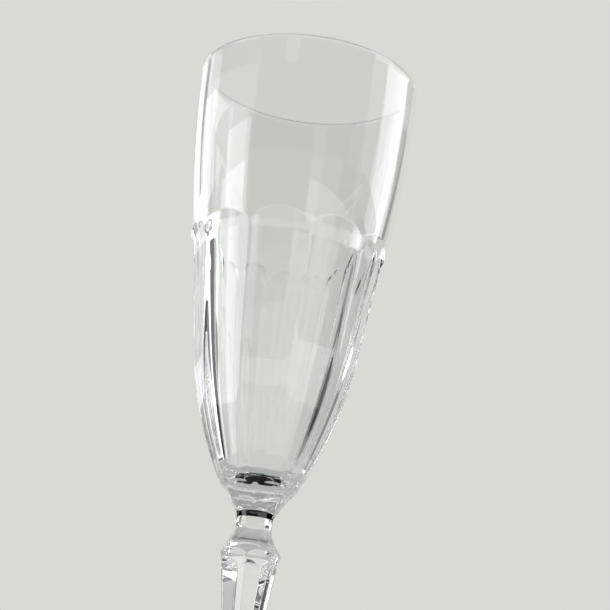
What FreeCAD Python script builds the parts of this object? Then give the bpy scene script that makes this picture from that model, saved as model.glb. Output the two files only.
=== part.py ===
import FreeCAD, Part
import math
import os
import Sketcher

# Champagne flute of pressed glass, in three fused pieces: bowl, stem and foot.
# Millimetres, +Z up. The origin is at the centre of the circle that the foot stands on.
# Every height is measured from that surface, and every radius from the glass's own axis.

SIZES = {
    # the rim and the plain upper wall
    "overall_height": 205.0,
    "rim_radius": 31.35,          # outside, where the rim's rounding starts
    "rim_lip": 0.7,               # radius of the rounded lip, half the wall there
    "plain_wall_curve": 320.0,
    "body_top": 147.2,            # where neighbouring panels meet in a full-height edge
    "body_top_radius": 26.42,
    # the panelled body, down to the base
    "body_turn": 121.0,           # the straight taper ends and the body curves in
    "body_turn_radius": 23.35,    # a little outside the corners that the flats meet in
    "body_curve": 108.0,
    "body_foot": 85.6,            # the panels end on a narrow ring
    "body_foot_radius": 11.8,
    "base_ring": 81.6,
    "base_ring_radius": 9.1,
    "seam_top": 76.3,             # bowl and stem are fused here
    "base_radius": 5.6,
    # the panels: each is flat across its width
    "panel_count": 10,
    "panel_apex": 155.2,          # the crown of each panel's arched top
    "panel_apex_radius": 27.95,
    "panel_shoulder_curve": 17.2,
    "panel_top_flat": 25.1,       # distance of the flat from the axis, at body_top
    "panel_turn_flat": 21.83,     # the same, at body_turn
    "panel_curve": 112.0,
    "panel_foot_flat": 10.6,      # the same, at panel_foot
    "panel_foot": 84.4,
    # the facets cut on the base, under the ring
    "facet_count": 6,
    "facet_apex": 83.3,
    "facet_apex_radius": 10.2,
    "facet_top": 80.6,
    "facet_top_flat": 7.35,
    "facet_shoulder_curve": 6.0,
    "facet_foot_flat": 5.25,
    # the inside, which follows the outside's taper through a gentle bend
    "inner_wall_curve": 330.0,
    "inner_bend_top": 153.3,
    "inner_bend_top_radius": 24.3,
    "inner_bend_curve": 345.0,
    "inner_bend_foot": 141.0,
    "inner_bend_foot_radius": 22.2,
    "inner_body_curve": 400.0,
    "inner_foot": 90.4,
    "inner_foot_radius": 11.0,
    "inner_corner": 8.0,
    "inner_floor_edge": 84.6,
    "inner_floor_radius": 4.25,
    "inner_floor_curve": 37.3,
    "inner_bottom": 84.36,
    # the stem
    "neck_radius": 5.2,
    "neck_curve": 11.0,
    "flare_foot": 66.3,
    "flare_foot_radius": 7.75,
    "shoulder": 63.7,
    "shoulder_radius": 8.45,
    "shoulder_curve": 4.0,
    "taper_curve": 600.0,
    "waist": 24.0,
    "waist_radius": 4.8,
    "spread_curve": 24.0,
    "seam_foot": 7.6,             # stem and foot are fused here
    "spread_radius": 8.6,
    # the stem's flats
    "stem_sides": 6,
    "flat_apex": 65.2,
    "flat_apex_radius": 8.3,
    "flat_top": 61.9,
    "flat_top_radius": 7.1,
    "flat_top_curve": 5.0,
    "flat_curve": 320.0,
    "flat_foot": 24.0,
    "flat_foot_radius": 3.95,
    "flat_spread_curve": 24.0,
    "flat_end": 12.6,
    "flat_end_radius": 7.0,
    # the lighter facets on the flare, above the shoulder
    "flare_facet_top": 72.6,
    "flare_facet_top_radius": 4.8,
    "flare_facet_curve": 14.0,
    "flare_facet_end": 65.7,
    "flare_facet_end_radius": 8.1,
    # the foot
    "foot_radius": 33.0,
    "foot_edge": 0.8,             # radius of the rounded edge
    "foot_dome_curve": 62.0,
    "foot_rest_inner": 24.0,      # the glass stands on the ring outside this radius
    "foot_hollow": 1.6,           # the underside rises this far at the middle
    "cutter_reach": 40.0,         # half-length of a cutter's outline, beyond every wall
}


def flute():
    doc = FreeCAD.newDocument("ChampagneFlute")
    sheet = doc.addObject("Spreadsheet::Sheet", "Sizes")
    for row, (alias, value) in enumerate(SIZES.items(), start=1):
        sheet.set(f"A{row}", alias)
        sheet.set(f"B{row}", str(value))
        sheet.setAlias(f"B{row}", alias)
    doc.recompute()
    make_bowl(doc)
    make_stem(doc)
    make_foot(doc)
    doc.recompute()
    return doc


def cell(alias):
    """A coordinate that one cell holds: its value now, and the expression that binds it."""
    return SIZES[alias], f"Sizes.{alias}"


AXIS = (0.0, None)                 # a coordinate of zero needs no cell


def corner(radius, height):
    """A corner of an outline. Each coordinate is a cell's alias, or a value with its expression."""
    return tuple(cell(place) if isinstance(place, str) else place for place in (radius, height))


def less(alias, other):
    return SIZES[alias] - SIZES[other], f"Sizes.{alias} - Sizes.{other}"


def origin_plane(body, role):
    return next(feature for feature in body.Origin.OriginFeatures if feature.Role == role)


def arc_between(start, end, radius, bulge):
    """The shorter arc from start to end. bulge +1 has its centre left of the chord, -1 right of it."""
    chord = end - start
    middle = (start + end) * 0.5
    half = chord.Length / 2
    offset = math.sqrt(radius * radius - half * half)
    left = FreeCAD.Vector(-chord.y, chord.x, 0).normalize()
    centre = middle + left * (offset * bulge)
    first = math.atan2(start.y - centre.y, start.x - centre.x)
    last = math.atan2(end.y - centre.y, end.x - centre.x)
    if bulge < 0:
        first, last = last, first
    return Part.ArcOfCircle(Part.Circle(centre, FreeCAD.Vector(0, 0, 1), radius), first, last)


def outline(body, plane, name, corners, bends):
    """A closed outline of radius against height, in a plane through the axis.

    corners are (radius, height) pairs from corner(). bends gives, by the index of the corner
    that a side starts from, the cell that holds its arc's radius, and the side of its centre.
    Sides not in bends are straight.
    """
    sketch = body.newObject("Sketcher::SketchObject", name)
    sketch.AttachmentSupport = [(origin_plane(body, plane), "")]
    sketch.MapMode = "FlatFace"
    points = [FreeCAD.Vector(radius[0], height[0], 0) for radius, height in corners]
    count = len(points)
    ends = []                     # the vertex numbers of each side's start and end
    for index, start in enumerate(points):
        end = points[(index + 1) % count]
        if index in bends:
            alias, bulge = bends[index]
            sketch.addGeometry(arc_between(start, end, SIZES[alias], bulge), False)
            ends.append((1, 2) if bulge > 0 else (2, 1))
        else:
            sketch.addGeometry(Part.LineSegment(start, end), False)
            ends.append((1, 2))
    for index in range(count):
        following = (index + 1) % count
        joint = (index, ends[index][1], following, ends[following][0])
        sketch.addConstraint(Sketcher.Constraint("Coincident", *joint))
    for index, (radius, height) in enumerate(corners):
        for kind, (value, expression) in (("DistanceX", radius), ("DistanceY", height)):
            place = sketch.addConstraint(Sketcher.Constraint(kind, -1, 1, index, ends[index][0], value))
            if expression:
                sketch.setExpression(f"Constraints[{place}]", expression)
    for index, (alias, _) in bends.items():
        place = sketch.addConstraint(Sketcher.Constraint("Radius", index, SIZES[alias]))
        sketch.setExpression(f"Constraints[{place}]", f"Sizes.{alias}")
    return sketch


def turned(body, sketch, name):
    turn = body.newObject("PartDesign::Revolution", name)
    turn.Profile = sketch
    turn.ReferenceAxis = (sketch, ["V_Axis"])
    turn.Angle = 360.0
    body.Document.recompute()
    return turn


def cut_around(body, sketch, name, count):
    """Cuts the sketch's outline right through, on one side of the axis, and repeats it around the axis."""
    before = body.Shape.Volume
    cut = body.newObject("PartDesign::Pocket", name)
    cut.Profile = sketch
    cut.Type = 0
    cut.Midplane = True
    cut.setExpression("Length", "2 * Sizes.cutter_reach")
    body.Document.recompute()
    ring = body.newObject("PartDesign::PolarPattern", name + "Ring")
    ring.Originals = [cut]
    ring.Axis = (sketch, ["V_Axis"])
    ring.Angle = 360.0
    ring.setExpression("Occurrences", f"Sizes.{count}")
    body.Tip = ring
    body.Document.recompute()
    if ring.Shape.Volume >= before:
        raise RuntimeError(f"{name} removed nothing from {body.Label}")
    return ring


def new_body(doc, label):
    body = doc.addObject("PartDesign::Body", label)
    body.Label = label
    body.Placement = FreeCAD.Placement()
    return body


def make_bowl(doc):
    body = new_body(doc, "bowl")
    lip_start = less("overall_height", "rim_lip")
    lip_inner = (SIZES["rim_radius"] - 2 * SIZES["rim_lip"], "Sizes.rim_radius - 2 * Sizes.rim_lip")
    lip_middle = less("rim_radius", "rim_lip")
    wall = outline(
        body, "YZ_Plane", "BowlWall",
        [
            corner(AXIS, "seam_top"),
            corner("base_radius", "seam_top"),
            corner("base_ring_radius", "base_ring"),
            corner("body_foot_radius", "body_foot"),
            corner("body_turn_radius", "body_turn"),
            corner("body_top_radius", "body_top"),
            corner("rim_radius", lip_start),
            corner(lip_middle, "overall_height"),
            corner(lip_inner, lip_start),
            corner("inner_bend_top_radius", "inner_bend_top"),
            corner("inner_bend_foot_radius", "inner_bend_foot"),
            corner("inner_foot_radius", "inner_foot"),
            corner("inner_floor_radius", "inner_floor_edge"),
            corner(AXIS, "inner_bottom"),
        ],
        {
            3: ("body_curve", 1),
            5: ("plain_wall_curve", 1),
            6: ("rim_lip", 1),
            7: ("rim_lip", 1),
            8: ("inner_wall_curve", -1),
            9: ("inner_bend_curve", 1),
            10: ("inner_body_curve", -1),
            11: ("inner_corner", -1),
            12: ("inner_floor_curve", -1),
        })
    turned(body, wall, "BowlTurned")
    panel = outline(
        body, "YZ_Plane", "Panel",
        [
            corner("panel_foot_flat", "panel_foot"),
            corner("panel_turn_flat", "body_turn"),
            corner("panel_top_flat", "body_top"),
            corner("panel_apex_radius", "panel_apex"),
            corner("cutter_reach", "panel_apex"),
            corner("cutter_reach", "panel_foot"),
        ],
        {
            0: ("panel_curve", 1),
            2: ("panel_shoulder_curve", -1),
        })
    cut_around(body, panel, "PanelCut", "panel_count")
    facet = outline(
        body, "XZ_Plane", "BaseFacet",
        [
            corner("facet_foot_flat", "seam_top"),
            corner("facet_top_flat", "facet_top"),
            corner("facet_apex_radius", "facet_apex"),
            corner("cutter_reach", "facet_apex"),
            corner("cutter_reach", "seam_top"),
        ],
        {1: ("facet_shoulder_curve", -1)})
    cut_around(body, facet, "BaseFacetCut", "facet_count")


def make_stem(doc):
    body = new_body(doc, "stem")
    side = outline(
        body, "XZ_Plane", "StemSide",
        [
            corner(AXIS, "seam_foot"),
            corner("spread_radius", "seam_foot"),
            corner("waist_radius", "waist"),
            corner("shoulder_radius", "shoulder"),
            corner("flare_foot_radius", "flare_foot"),
            corner("neck_radius", "seam_top"),
            corner(AXIS, "seam_top"),
        ],
        {
            1: ("spread_curve", -1),
            2: ("taper_curve", -1),
            3: ("shoulder_curve", 1),
            4: ("neck_curve", -1),
        })
    turned(body, side, "StemTurned")
    flat = outline(
        body, "XZ_Plane", "StemFlat",
        [
            corner("flat_end_radius", "flat_end"),
            corner("flat_foot_radius", "flat_foot"),
            corner("flat_top_radius", "flat_top"),
            corner("flat_apex_radius", "flat_apex"),
            corner("cutter_reach", "flat_apex"),
            corner("cutter_reach", "flat_end"),
        ],
        {
            0: ("flat_spread_curve", -1),
            1: ("flat_curve", -1),
            2: ("flat_top_curve", -1),
        })
    cut_around(body, flat, "StemFlatCut", "stem_sides")
    facet = outline(
        body, "XZ_Plane", "FlareFacet",
        [
            corner("flare_facet_end_radius", "flare_facet_end"),
            corner("flare_facet_top_radius", "flare_facet_top"),
            corner("cutter_reach", "flare_facet_top"),
            corner("cutter_reach", "flare_facet_end"),
        ],
        {0: ("flare_facet_curve", -1)})
    cut_around(body, facet, "FlareFacetCut", "stem_sides")


def make_foot(doc):
    body = new_body(doc, "foot")
    double_edge = (2 * SIZES["foot_edge"], "2 * Sizes.foot_edge")
    disc = outline(
        body, "XZ_Plane", "FootDisc",
        [
            corner(AXIS, "foot_hollow"),
            corner("foot_rest_inner", AXIS),
            corner(less("foot_radius", "foot_edge"), AXIS),
            corner("foot_radius", "foot_edge"),
            corner(less("foot_radius", "foot_edge"), double_edge),
            corner("spread_radius", "seam_foot"),
            corner(AXIS, "seam_foot"),
        ],
        {
            2: ("foot_edge", 1),
            3: ("foot_edge", 1),
            4: ("foot_dome_curve", -1),
        })
    turned(body, disc, "FootTurned")


def check(doc):
    for item in doc.Objects:
        if "Invalid" in item.State or "Error" in item.State:
            raise RuntimeError(f"{item.Name} failed: {item.State}")
    bodies = [item for item in doc.Objects if item.TypeId == "PartDesign::Body"]
    for body in bodies:
        if body.Shape.isNull() or not body.Shape.isValid() or len(body.Shape.Solids) != 1:
            raise RuntimeError(f"{body.Label} is not one valid solid")
    return bodies


document = flute()
pieces = check(document)
os.makedirs("parts", exist_ok=True)
for piece in pieces:
    piece.Shape.exportStep(f"parts/{piece.Label}.step")
    box = piece.Shape.optimalBoundingBox()
    print(f"{piece.Label}: volume {piece.Shape.Volume:.0f} mm3, height {box.ZMin:.2f} to {box.ZMax:.2f},"
          f" radius {box.XMax:.2f}")
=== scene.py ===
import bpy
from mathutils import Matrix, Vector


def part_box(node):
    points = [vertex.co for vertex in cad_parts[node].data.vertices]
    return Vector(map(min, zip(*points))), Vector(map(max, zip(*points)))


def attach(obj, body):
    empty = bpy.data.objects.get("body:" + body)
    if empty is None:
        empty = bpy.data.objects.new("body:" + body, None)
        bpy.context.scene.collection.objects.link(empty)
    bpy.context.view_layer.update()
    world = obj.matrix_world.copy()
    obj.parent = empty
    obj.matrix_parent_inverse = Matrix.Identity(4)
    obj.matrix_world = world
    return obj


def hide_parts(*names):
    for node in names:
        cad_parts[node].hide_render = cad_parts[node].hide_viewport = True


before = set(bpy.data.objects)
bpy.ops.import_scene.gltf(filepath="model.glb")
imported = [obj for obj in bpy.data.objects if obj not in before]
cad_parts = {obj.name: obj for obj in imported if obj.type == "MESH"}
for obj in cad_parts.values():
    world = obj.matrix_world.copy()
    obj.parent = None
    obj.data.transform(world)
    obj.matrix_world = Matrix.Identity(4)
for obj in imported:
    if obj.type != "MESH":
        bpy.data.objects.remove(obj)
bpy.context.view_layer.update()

import math

import bmesh
import bpy
from mathutils import Matrix, Vector

# A champagne flute of clear pressed glass, in its three fused pieces.
# Metres, +Z up, in the frame of the CAD parts. Outlines are given in millimetres: the distance from
# the glass's axis, and the height above the table that it stands on.

MM = 0.001
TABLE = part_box("foot")[0].z
FOOT_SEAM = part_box("stem")[0].z
BOWL_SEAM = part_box("bowl")[0].z
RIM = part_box("bowl")[1].z
BOWL_MIDDLE = (BOWL_SEAM + RIM) / 2
TABLE_REACH = 3.0                  # from the glass to the table's edges
TABLE_GAP = 0.0002                 # keeps the table's face clear of the foot's
WIDE_TURNS = 240                   # steps of a full turn on the bowl and foot: whole to each flat
STEM_TURNS = 144                   # the same on the stem, with 24 to each side
TOUCH = 1e-6                       # two heights or radii this close are the same
LIGHT_BOUNCES = 64                 # light is turned back many times inside the solid base


# ---- outlines -------------------------------------------------------------------------------

def mm(radius, height):
    """A corner of an outline, given in millimetres."""
    return Vector((radius * MM, height * MM))


NECK_MIDDLE, NECK = mm(0, 76.3), mm(5.2, 76.3)          # the seam of the stem and the bowl
SPREAD_MIDDLE, SPREAD = mm(0, 7.6), mm(8.6, 7.6)        # the seam of the foot and the stem


def arc(start, end, curve, steps):
    """Points after start, up to end, on the shorter arc between them.

    curve is the radius in millimetres, positive with the centre on the left of the way from
    start to end, negative with it on the right, and 0 for a straight run.
    """
    if not curve:
        return [start.lerp(end, step / steps) for step in range(1, steps + 1)]
    chord = end - start
    radius = abs(curve) * MM
    left = Vector((-chord.y, chord.x)).normalized()
    rise = math.sqrt(radius * radius - chord.length_squared / 4)
    centre = (start + end) / 2 + left * math.copysign(rise, curve)
    sweep = math.copysign(2 * math.asin(chord.length / 2 / radius), curve)
    spoke = start - centre
    return [centre + Matrix.Rotation(sweep * step / steps, 2) @ spoke for step in range(1, steps + 1)]


def outline(start, *runs):
    """A line of points from start through runs of (end, curve, steps)."""
    points = [start]
    for end, curve, steps in runs:
        points += arc(points[-1], end, curve, steps)
    return points


def radius_at(points, height):
    """The radius that a line of points, listed upwards, has at a height, or None beyond its ends."""
    for low, high in zip(points, points[1:]):
        if low.y <= height <= high.y:
            return low.x + (high.x - low.x) * (height - low.y) / (high.y - low.y)
    return None


# ---- turned and flattened glass ----------------------------------------------------------------

def softer_of(one, other, width):
    """The smaller of two radii, with the crease between them rounded over about that width."""
    near = max(width - abs(one - other), 0) / width
    return min(one, other) - near * near * width / 4


def flat_side(flat, angle, count, rounding):
    """The radius, at an angle from a side's middle, of a prism with count sides and rounded edges.

    flat is the distance of each side from the axis.
    """
    half = math.pi / count
    off_edge = abs(angle % (2 * half) - half)     # 0 on an edge, half at the middle of a side
    centre = (flat - rounding) / math.cos(half)
    if centre * math.sin(off_edge) < rounding * math.sin(half):
        return centre * math.cos(off_edge) + math.sqrt(rounding ** 2 - (centre * math.sin(off_edge)) ** 2)
    return flat / math.cos(half - off_edge)


class Flats:
    """A ring of flats cut on a turned shape.

    line gives the flats' distance from the axis by height, and middle the angle, in degrees, of the
    middle of one flat. rounding is the radius of the edges between neighbouring flats, and crease the
    width of the soft edge where a flat meets the turned surface, both in millimetres.
    """

    def __init__(self, line, count, middle, rounding, crease):
        self.line = line
        self.count = count
        self.middle = math.radians(middle)
        self.rounding = rounding * MM
        self.crease = crease * MM

    def cut(self, radius, angle, height):
        flat = radius_at(self.line, height)
        if flat is None or flat - radius > self.crease:
            return radius
        side = flat_side(flat, angle - self.middle, self.count, self.rounding)
        return softer_of(radius, side, self.crease)


def gathered(angle, count, middle, strength):
    """Moves a step of the turn towards the edges between flats, where the shape changes most."""
    phase = count * (angle - math.radians(middle))
    return angle + strength * math.sin(phase) / count


def turned_piece(name, points, cuts, cut_rows, gather, turns):
    """Spins an outline about the axis, and presses the flats into its outside.

    cut_rows is how many of the outline's points, from its start, lie on the outside. gather is the
    (count, middle, strength) with which the steps of the turn crowd towards the flats' edges.
    """
    shape = bmesh.new()
    row = shape.verts.layers.int.new("row")
    line = [shape.verts.new((point.x, 0, point.y)) for point in points]
    for index, vertex in enumerate(line):
        vertex[row] = index
    for one, following in zip(line, line[1:]):
        shape.edges.new((one, following))
    bmesh.ops.spin(
        shape, geom=shape.verts[:] + shape.edges[:], cent=(0, 0, 0), axis=(0, 0, 1),
        angle=2 * math.pi, steps=turns, use_merge=True)
    bmesh.ops.remove_doubles(shape, verts=shape.verts[:], dist=TOUCH)
    count, middle, strength = gather
    for vertex in shape.verts:
        radius = math.hypot(vertex.co.x, vertex.co.y)
        if radius < TOUCH:
            continue
        angle = gathered(math.atan2(vertex.co.y, vertex.co.x), count, middle, strength)
        if vertex[row] < cut_rows:
            for flats in cuts:
                radius = flats.cut(radius, angle, vertex.co.z)
        vertex.co.x = radius * math.cos(angle)
        vertex.co.y = radius * math.sin(angle)
    shape.verts.layers.int.remove(row)
    bmesh.ops.recalc_face_normals(shape, faces=shape.faces[:])
    for face in shape.faces:
        face.smooth = True
    mesh = bpy.data.meshes.new(name)
    shape.to_mesh(mesh)
    shape.free()
    piece = bpy.data.objects.new(name, mesh)
    bpy.context.collection.objects.link(piece)
    return piece


def weld_faces(piece, seams, weld):
    """Gives the faces inside each fused seam the weld's material, so that light passes as in one glass.

    seams are (height, radius) pairs.
    """
    piece.data.materials.append(weld)
    for face in piece.data.polygons:
        centre = face.center
        for height, radius in seams:
            if abs(centre.z - height) < TOUCH and math.hypot(centre.x, centre.y) < radius:
                face.material_index = 1
                face.use_smooth = False


# ---- bowl ----------------------------------------------------------------------------------------

def bowl():
    """The cup, pressed with ten panels and, under them, six facets on its solid base."""
    base, base_ring, body_foot = mm(5.6, 76.3), mm(9.1, 81.6), mm(11.8, 85.6)
    body_turn, body_top = mm(23.35, 121.0), mm(26.42, 147.2)
    over_panels, rim_outside = mm(27.98, 156.4), mm(31.35, 204.3)
    rim_top, rim_inside = mm(30.65, 205.0), mm(29.95, 204.3)
    bend_top, bend_foot = mm(24.3, 153.3), mm(22.2, 141.0)
    inner_foot, floor_edge, floor_middle = mm(11.0, 90.4), mm(4.25, 84.6), mm(0, 84.36)
    body_curve, wall_curve, lip = 108, 320, 0.7
    inner_wall_curve, bend_curve, inner_body_curve = -330, 345, -400
    inner_corner, floor_curve = -8, -37.3
    outside = outline(
        NECK_MIDDLE, (NECK, 0, 4), (base, 0, 2), (base_ring, 0, 30), (body_foot, 0, 24),
        (body_turn, body_curve, 30), (body_top, 0, 16), (over_panels, wall_curve, 46),
        (rim_outside, wall_curve, 26))
    inside = outline(
        outside[-1], (rim_top, lip, 7), (rim_inside, lip, 7), (bend_top, inner_wall_curve, 26),
        (bend_foot, bend_curve, 8), (inner_foot, inner_body_curve, 28), (floor_edge, inner_corner, 14),
        (floor_middle, floor_curve, 5))
    panel_foot, panel_turn = mm(10.6, 84.4), mm(21.83, 121.0)
    panel_top, panel_apex = mm(25.1, 147.2), mm(27.95, 155.2)
    panel_curve, panel_shoulder = 112, -17.2
    panels = Flats(
        outline(
            panel_foot, (panel_turn, panel_curve, 40), (panel_top, 0, 4), (panel_apex, panel_shoulder, 30)),
        count=10, middle=90, rounding=4.0, crease=0.2)
    facet_foot, facet_top, facet_apex = mm(5.25, 76.3), mm(7.35, 80.6), mm(10.2, 83.3)
    facet_shoulder = -6
    facets = Flats(
        outline(facet_foot, (facet_top, 0, 4), (facet_apex, facet_shoulder, 20)),
        count=6, middle=0, rounding=0.5, crease=0.25)
    return turned_piece(
        "bowl_cup", outside + inside[1:], [panels, facets], len(outside), gather=(10, 90, 0.55),
        turns=WIDE_TURNS)


# ---- stem ----------------------------------------------------------------------------------------

def stem():
    """The six-sided shaft, with lighter facets on the flare between its shoulder and the neck."""
    waist, shoulder, flare_foot = mm(4.8, 24.0), mm(8.45, 63.7), mm(7.75, 66.3)
    spread_curve, taper_curve, shoulder_curve, neck_curve = -24, -600, 4, -11
    points = outline(
        SPREAD_MIDDLE, (SPREAD, 0, 4), (waist, spread_curve, 34), (shoulder, taper_curve, 70),
        (flare_foot, shoulder_curve, 26), (NECK, neck_curve, 40), (NECK_MIDDLE, 0, 4))
    side_end, side_waist = mm(7.0, 12.6), mm(3.95, 24.0)
    side_top, side_apex = mm(7.1, 61.9), mm(8.3, 65.2)
    side_curve, side_shoulder = -320, -5
    sides = Flats(
        outline(
            side_end, (side_waist, spread_curve, 24), (side_top, side_curve, 30),
            (side_apex, side_shoulder, 24)),
        count=6, middle=0, rounding=0.5, crease=0.2)
    flare_end, flare_top, flare_curve = mm(8.1, 65.7), mm(4.8, 72.6), -14
    flare = Flats(
        outline(flare_end, (flare_top, flare_curve, 30)),
        count=6, middle=0, rounding=0.5, crease=0.2)
    return turned_piece(
        "stem_shaft", points, [sides, flare], len(points), gather=(6, 0, 0.4), turns=STEM_TURNS)


# ---- foot ----------------------------------------------------------------------------------------

def foot():
    """The domed disc, which stands on a flat ring round a shallow hollow."""
    hollow, ring_inside, ring_outside = mm(0, 1.6), mm(24.0, 0), mm(32.2, 0)
    edge, edge_top = mm(33.0, 0.8), mm(32.2, 1.6)
    edge_curve, dome_curve = 0.8, -62
    points = outline(
        hollow, (ring_inside, 0, 12), (ring_outside, 0, 6), (edge, edge_curve, 7), (edge_top, edge_curve, 7),
        (SPREAD, dome_curve, 30), (SPREAD_MIDDLE, 0, 4))
    return turned_piece("foot_disc", points, [], 0, gather=(10, 90, 0.0), turns=WIDE_TURNS)


# ---- glass ---------------------------------------------------------------------------------------

GLASS_TINT = (0.948, 0.953, 0.948, 1)
GLASS_IOR = 1.52


def new_material(name):
    material = bpy.data.materials.new(name)
    material.use_nodes = True
    nodes = material.node_tree.nodes
    return material, nodes, material.node_tree.links, nodes["Principled BSDF"]


def ripple_group():
    """The faint waviness that pressed glass keeps from its mould, and the film left by handling."""
    group = bpy.data.node_groups.new("pressed_surface", "ShaderNodeTree")
    sockets = group.interface
    sockets.new_socket("Vector", in_out="INPUT", socket_type="NodeSocketVector")
    sockets.new_socket("Wave Size", in_out="INPUT", socket_type="NodeSocketFloat")
    sockets.new_socket("Film", in_out="INPUT", socket_type="NodeSocketFloat")
    sockets.new_socket("Height", in_out="OUTPUT", socket_type="NodeSocketFloat")
    sockets.new_socket("Roughness", in_out="OUTPUT", socket_type="NodeSocketFloat")
    nodes, links = group.nodes, group.links
    inputs, outputs = nodes.new("NodeGroupInput"), nodes.new("NodeGroupOutput")
    wave = nodes.new("ShaderNodeTexNoise")
    wave.inputs["Detail"].default_value = 1.0
    links.new(inputs.outputs["Vector"], wave.inputs["Vector"])
    links.new(inputs.outputs["Wave Size"], wave.inputs["Scale"])
    links.new(wave.outputs["Fac"], outputs.inputs["Height"])
    smear = nodes.new("ShaderNodeTexNoise")
    smear.inputs["Scale"].default_value = 60.0
    smear.inputs["Detail"].default_value = 4.0
    links.new(inputs.outputs["Vector"], smear.inputs["Vector"])
    edge = nodes.new("ShaderNodeMapRange")
    edge.interpolation_type = "SMOOTHSTEP"
    edge.inputs["From Min"].default_value = 0.55
    edge.inputs["From Max"].default_value = 0.8
    links.new(smear.outputs["Fac"], edge.inputs["Value"])
    links.new(inputs.outputs["Film"], edge.inputs["To Max"])
    links.new(edge.outputs["Result"], outputs.inputs["Roughness"])
    return group


def glass(name, surface, wave_size, wave_depth, film):
    """Clear glass, with its own waviness and film over one shared surface."""
    material, nodes, links, shader = new_material(name)
    shader.inputs["Base Color"].default_value = GLASS_TINT
    shader.inputs["Transmission Weight"].default_value = 1.0
    shader.inputs["IOR"].default_value = GLASS_IOR
    shader.inputs["Roughness"].default_value = 0.0
    place = nodes.new("ShaderNodeTexCoord")
    detail = nodes.new("ShaderNodeGroup")
    detail.node_tree = surface
    detail.inputs["Wave Size"].default_value = wave_size
    detail.inputs["Film"].default_value = film
    links.new(place.outputs["Object"], detail.inputs["Vector"])
    links.new(detail.outputs["Roughness"], shader.inputs["Roughness"])
    bump = nodes.new("ShaderNodeBump")
    bump.inputs["Strength"].default_value = 1.0
    bump.inputs["Distance"].default_value = wave_depth
    links.new(detail.outputs["Height"], bump.inputs["Height"])
    links.new(bump.outputs["Normal"], shader.inputs["Normal"])
    return material


def weld_glass():
    """The inside of a fused seam: light goes straight through it."""
    material, _, _, shader = new_material("weld_glass")
    shader.inputs["Base Color"].default_value = (1, 1, 1, 1)
    shader.inputs["Transmission Weight"].default_value = 1.0
    shader.inputs["IOR"].default_value = 1.0
    shader.inputs["Roughness"].default_value = 0.0
    return material


# ---- studio --------------------------------------------------------------------------------------

VIEW_TURN = math.radians(6)        # the camera stands this far round from the middle of a panel
DAYLIGHT = (0.93, 0.96, 1.0)
WALL = (1.0, 1.0, 0.96)
CEILING = (0.92, 1.0, 0.97)
LAMPLIGHT = (1.0, 0.97, 0.85)
DARK = (0, 0, 0)
SCREEN_STRIPS = 24                 # flat strips that make up a screen's curve


def around(angle, rise, distance):
    """A point seen from the middle of the bowl, at angles to the right of the camera's way and up.

    A point that would lie under the table is brought nearer, until it lies on it.
    """
    turn = VIEW_TURN + math.radians(90 - angle)
    slope = math.tan(math.radians(rise))
    if slope < 0:
        distance = min(distance, -BOWL_MIDDLE / slope)
    return Vector((distance * math.cos(turn), distance * math.sin(turn), BOWL_MIDDLE + distance * slope))


def screen(name, left, right, low, high, distance, colour, power):
    """A curved screen that stands round the glass. Only reflections and refractions show it.

    left and right are its ends in degrees to the right of the way the camera faces, low and high its
    edges in degrees above the middle of the bowl, and power its brightness.
    """
    shape = bmesh.new()
    bmesh.ops.create_grid(shape, x_segments=SCREEN_STRIPS, y_segments=1, size=0.5)
    for vertex in shape.verts:
        across, up = vertex.co.x + 0.5, vertex.co.y + 0.5
        vertex.co = around(left + (right - left) * across, low + (high - low) * up, distance)
    mesh = bpy.data.meshes.new(name)
    shape.to_mesh(mesh)
    shape.free()
    panel = bpy.data.objects.new(name, mesh)
    bpy.context.collection.objects.link(panel)
    panel.visible_camera = False
    panel.visible_shadow = False
    material = bpy.data.materials.new(name)
    material.use_nodes = True
    nodes, links = material.node_tree.nodes, material.node_tree.links
    nodes.remove(nodes["Principled BSDF"])
    light = nodes.new("ShaderNodeEmission")
    light.inputs["Color"].default_value = (*colour, 1)
    light.inputs["Strength"].default_value = power
    links.new(light.outputs[0], nodes["Material Output"].inputs["Surface"])
    panel.data.materials.append(material)


def floor():
    """The pale table. It is seen from above only, so that a low camera looks through it."""
    shape = bmesh.new()
    bmesh.ops.create_grid(shape, x_segments=1, y_segments=1, size=TABLE_REACH)
    bmesh.ops.translate(shape, verts=shape.verts[:], vec=(0, 0, TABLE - TABLE_GAP))
    mesh = bpy.data.meshes.new("table_top")
    shape.to_mesh(mesh)
    shape.free()
    top = bpy.data.objects.new("table_top", mesh)
    bpy.context.collection.objects.link(top)
    material, nodes, links, shader = new_material("table_top")
    shader.inputs["Base Color"].default_value = (0.72, 0.73, 0.70, 1)
    shader.inputs["Roughness"].default_value = 0.6
    side = nodes.new("ShaderNodeNewGeometry")
    clear = nodes.new("ShaderNodeBsdfTransparent")
    mix = nodes.new("ShaderNodeMixShader")
    links.new(side.outputs["Backfacing"], mix.inputs["Fac"])
    links.new(shader.outputs[0], mix.inputs[1])
    links.new(clear.outputs[0], mix.inputs[2])
    links.new(mix.outputs[0], nodes["Material Output"].inputs["Surface"])
    top.data.materials.append(material)


def backdrop():
    """The pale grey of the room, all round."""
    world = bpy.data.worlds.new("studio")
    bpy.context.scene.world = world
    world.use_nodes = True
    paint = world.node_tree.nodes["Background"]
    paint.inputs["Color"].default_value = (0.686, 0.708, 0.658, 1)
    paint.inputs["Strength"].default_value = 1.0


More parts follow.
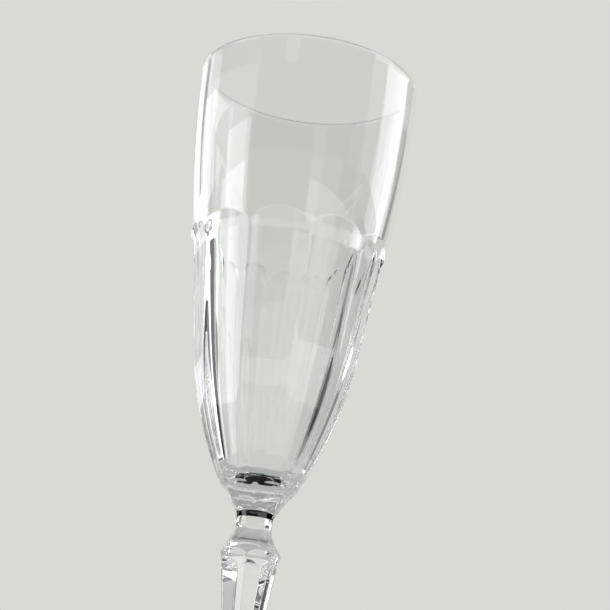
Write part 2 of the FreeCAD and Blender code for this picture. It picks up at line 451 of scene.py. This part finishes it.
def camera():
    """A long lens, a little tilted, that looks up at the bowl from just under the table's level."""
    lens = bpy.data.cameras.new("camera")
    lens.sensor_width = 36
    lens.lens = 118
    lens.clip_start = 0.01
    viewer = bpy.data.objects.new("camera", lens)
    bpy.context.collection.objects.link(viewer)
    lift, roll = math.radians(19.43), math.radians(6.89)
    upright = Matrix.Rotation(math.pi / 2 + lift, 4, "X") @ Matrix.Rotation(roll, 4, "Z")
    aside, away, below_rim = 0.0065, 0.5261, 0.2534
    place = Matrix.Translation((aside, -away, RIM - below_rim))
    viewer.matrix_world = Matrix.Rotation(VIEW_TURN, 4, "Z") @ place @ upright
    bpy.context.scene.camera = viewer


def room():
    """The windows, walls and shades that the glass reflects, each at its own place round it."""
    screen("left_window", -73, -51, -4, 24, 2.0, DAYLIGHT, 2.2)
    screen("window_frame", -51, -44, 13, 46, 1.9, WALL, 0.1)
    screen("left_shade", -84, -56, -8, 10, 1.9, DARK, 0)
    screen("left_sill", -46, -29, 1, 8.5, 1.8, DARK, 0)
    screen("left_glow", -51, -27, 6, 46, 2.0, DAYLIGHT, 1.3)
    screen("left_wall", -122, -93, -12, 13, 2.0, DAYLIGHT, 3.5)
    screen("left_high_shade", -126, -56, 25, 45, 2.0, DARK, 0)
    screen("right_window", 54, 92, 9, 28, 2.0, DAYLIGHT, 2.6)
    screen("right_back_window", 81, 109, 28, 51, 2.1, DAYLIGHT, 2.3)
    screen("right_shade", 49, 104, -8, 9.5, 1.9, DARK, 0)
    screen("front_right_shade", 38, 54, 6, 24, 1.9, WALL, 0.3)
    screen("right_low", 38, 49, -6, 5, 1.8, DAYLIGHT, 4.0)
    screen("behind_low_right", 106, 165, -15, 4, 2.0, WALL, 1.8)
    screen("behind_low_left", -195, -140, -15, -5, 2.0, WALL, 1.4)
    screen("ceiling", -180, 180, 52, 84, 1.5, CEILING, 0.28)
    screen("ceiling_light", -40, 0, 54, 64, 1.3, DAYLIGHT, 1.6)
    screen("doorway", -167, -153, 25, 44, 1.9, LAMPLIGHT, 1.0)
    screen("room_behind", 112, 234, -4, 31, 2.0, WALL, 0.15)


# ---- the flute -------------------------------------------------------------------------------------

surface = ripple_group()
clear = {
    "bowl": glass("bowl_glass", surface, wave_size=45, wave_depth=0.02 * MM, film=0.03),
    "stem": glass("stem_glass", surface, wave_size=90, wave_depth=0.01 * MM, film=0.03),
    "foot": glass("foot_glass", surface, wave_size=60, wave_depth=0.02 * MM, film=0.04),
}
weld = weld_glass()
seams = ((FOOT_SEAM, SPREAD.x), (BOWL_SEAM, NECK.x))
for node, make in (("bowl", bowl), ("stem", stem), ("foot", foot)):
    piece = make()
    piece.data.materials.append(clear[node])
    weld_faces(piece, seams, weld)
    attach(piece, "root")
    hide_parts(node)

camera()
backdrop()
floor()
room()

scene = bpy.context.scene
scene.view_settings.view_transform = "Standard"
scene.view_settings.look = "None"
scene.cycles.max_bounces = LIGHT_BOUNCES
scene.cycles.transmission_bounces = LIGHT_BOUNCES
scene.cycles.glossy_bounces = LIGHT_BOUNCES
scene.cycles.transparent_max_bounces = LIGHT_BOUNCES // 2
